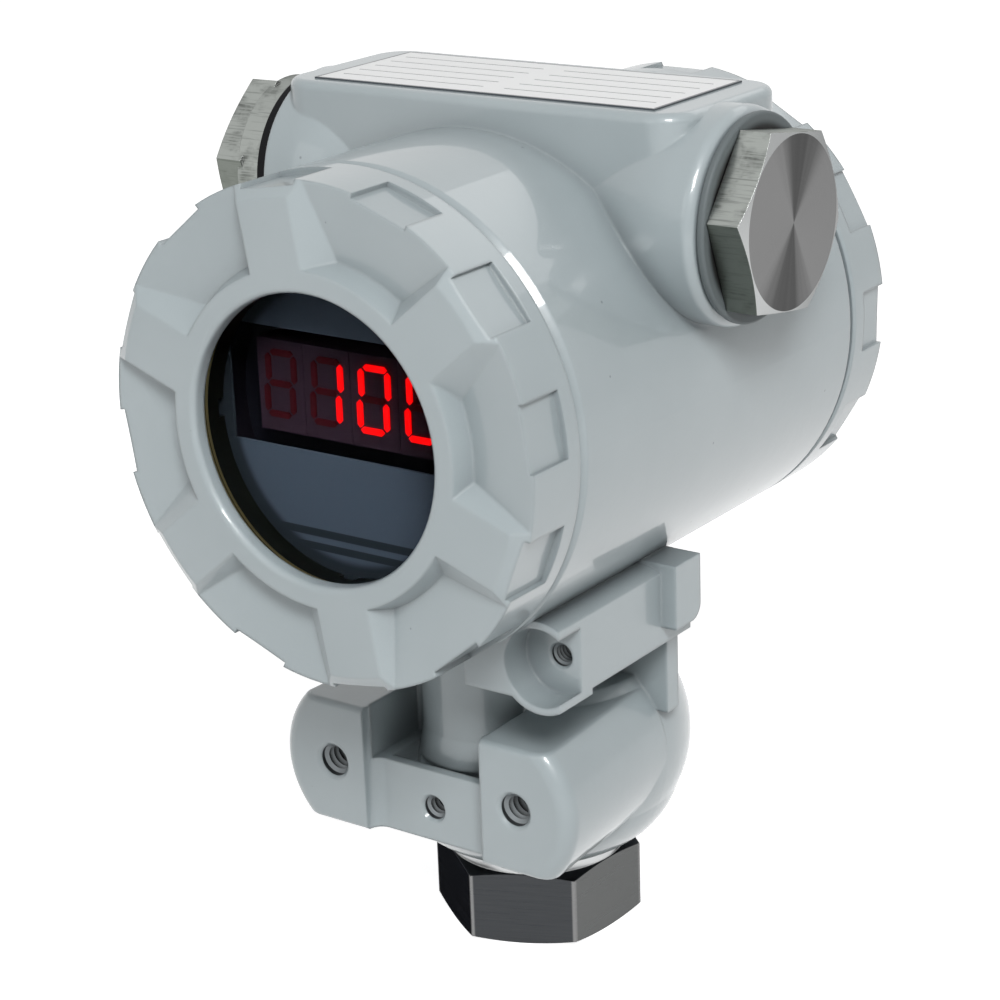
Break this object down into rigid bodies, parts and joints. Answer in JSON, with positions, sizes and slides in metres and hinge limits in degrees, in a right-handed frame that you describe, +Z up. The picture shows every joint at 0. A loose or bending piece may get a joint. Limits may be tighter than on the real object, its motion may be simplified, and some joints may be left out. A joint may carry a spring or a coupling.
{
  "type": "pressure transmitter",
  "caption": "Cast two-chamber transmitter housing with screwed covers, a lit display behind a round window, plugged conduit entries and a hexagonal threaded process connection.",
  "frame": {"origin": "centre of the process connection's lower face, on the axis of its threaded port", "axes": "+Z up through the neck; the display looks along -Y; the conduit entries lie along X"},
  "size_m": [0.1014, 0.1084, 0.145],
  "materials": {
    "enamel": "gloss",
    "stainless": "satin",
    "plug_steel": "satin",
    "screw_steel": "satin",
    "capsule_steel": "satin",
    "lock_brass": "satin",
    "seal_rubber": "matte",
    "glass": "polished",
    "label": "satin",
    "board": "satin",
    "black_plastic": "matte",
    "faceplate": "matte",
    "filter": "gloss",
    "lit": "gloss",
    "unlit": "gloss",
    "sleeve": "matte",
    "bush": "satin"
  },
  "bodies": {
    "housing": {"housing_casting": "enamel", "capsule_seal": "seal_rubber", "label_plate": "label", "process_connection": "stainless", "sensor_capsule": "capsule_steel", "sensor_diaphragm": "capsule_steel", "capsule_lock_ring": "capsule_steel", "sensor_lead_sleeve": "sleeve", "sensor_connector": "black_plastic", "main_board": "board", "display_board": "board", "display_pillars": "screw_steel", "display_screws": "screw_steel", "digit_blocks": "black_plastic", "digit_segments_lit": "lit", "digit_segments_dark": "unlit", "display_filter": "filter", "display_faceplate": "faceplate", "display_case": "black_plastic", "terminal_block": "black_plastic", "terminal_clamps": "screw_steel", "terminal_screws": "screw_steel", "inner_ground_screw": "screw_steel", "feedthrough": "bush"},
    "front_seal": {"front_cover_seal": "seal_rubber"},
    "front_cover": {"front_cover": "enamel", "window_gasket": "seal_rubber", "window_glass": "glass", "window_lock_ring": "lock_brass"},
    "rear_seal": {"rear_cover_seal": "seal_rubber"},
    "rear_cover": {"rear_cover": "enamel"},
    "left_seal": {"plug_seal_left": "seal_rubber"},
    "left_plug": {"conduit_plug_left": "plug_steel"},
    "right_seal": {"plug_seal_right": "seal_rubber"},
    "right_plug": {"conduit_plug_right": "plug_steel"}
  },
  "joints": [
    {"name": "front_cover_travel", "type": "slide", "parent": "housing", "child": "front_seal", "axis": [0, -1, 0], "range_m": [0, 0.00801]},
    {"name": "front_cover_turn", "type": "hinge", "parent": "front_seal", "child": "front_cover", "pos_m": [0, -0.0415, 0.1004], "axis": [0, -1, 0], "range_deg": [0, 1440]},
    {"name": "rear_cover_travel", "type": "slide", "parent": "housing", "child": "rear_seal", "axis": [0, 1, 0], "range_m": [0, 0.00801]},
    {"name": "rear_cover_turn", "type": "hinge", "parent": "rear_seal", "child": "rear_cover", "pos_m": [0, 0.0413, 0.1004], "axis": [0, 1, 0], "range_deg": [0, 1440]},
    {"name": "left_plug_travel", "type": "slide", "parent": "housing", "child": "left_seal", "axis": [-1, 0, 0], "range_m": [0, 0.01271]},
    {"name": "left_plug_turn", "type": "hinge", "parent": "left_seal", "child": "left_plug", "pos_m": [-0.0448, 0, 0.1276], "axis": [-1, 0, 0], "range_deg": [0, 2520]},
    {"name": "right_plug_travel", "type": "slide", "parent": "housing", "child": "right_seal", "axis": [1, 0, 0], "range_m": [0, 0.01271]},
    {"name": "right_plug_turn", "type": "hinge", "parent": "right_seal", "child": "right_plug", "pos_m": [0.0448, 0, 0.1276], "axis": [1, 0, 0], "range_deg": [0, 2520]}
  ],
  "couplings": [
    {"joint": "front_cover_travel", "follows": "front_cover_turn", "m_per_rad": 0.00031831},
    {"joint": "rear_cover_travel", "follows": "rear_cover_turn", "m_per_rad": 0.00031831},
    {"joint": "left_plug_travel", "follows": "left_plug_turn", "m_per_rad": 0.00028871},
    {"joint": "right_plug_travel", "follows": "right_plug_turn", "m_per_rad": 0.00028871}
  ]
}
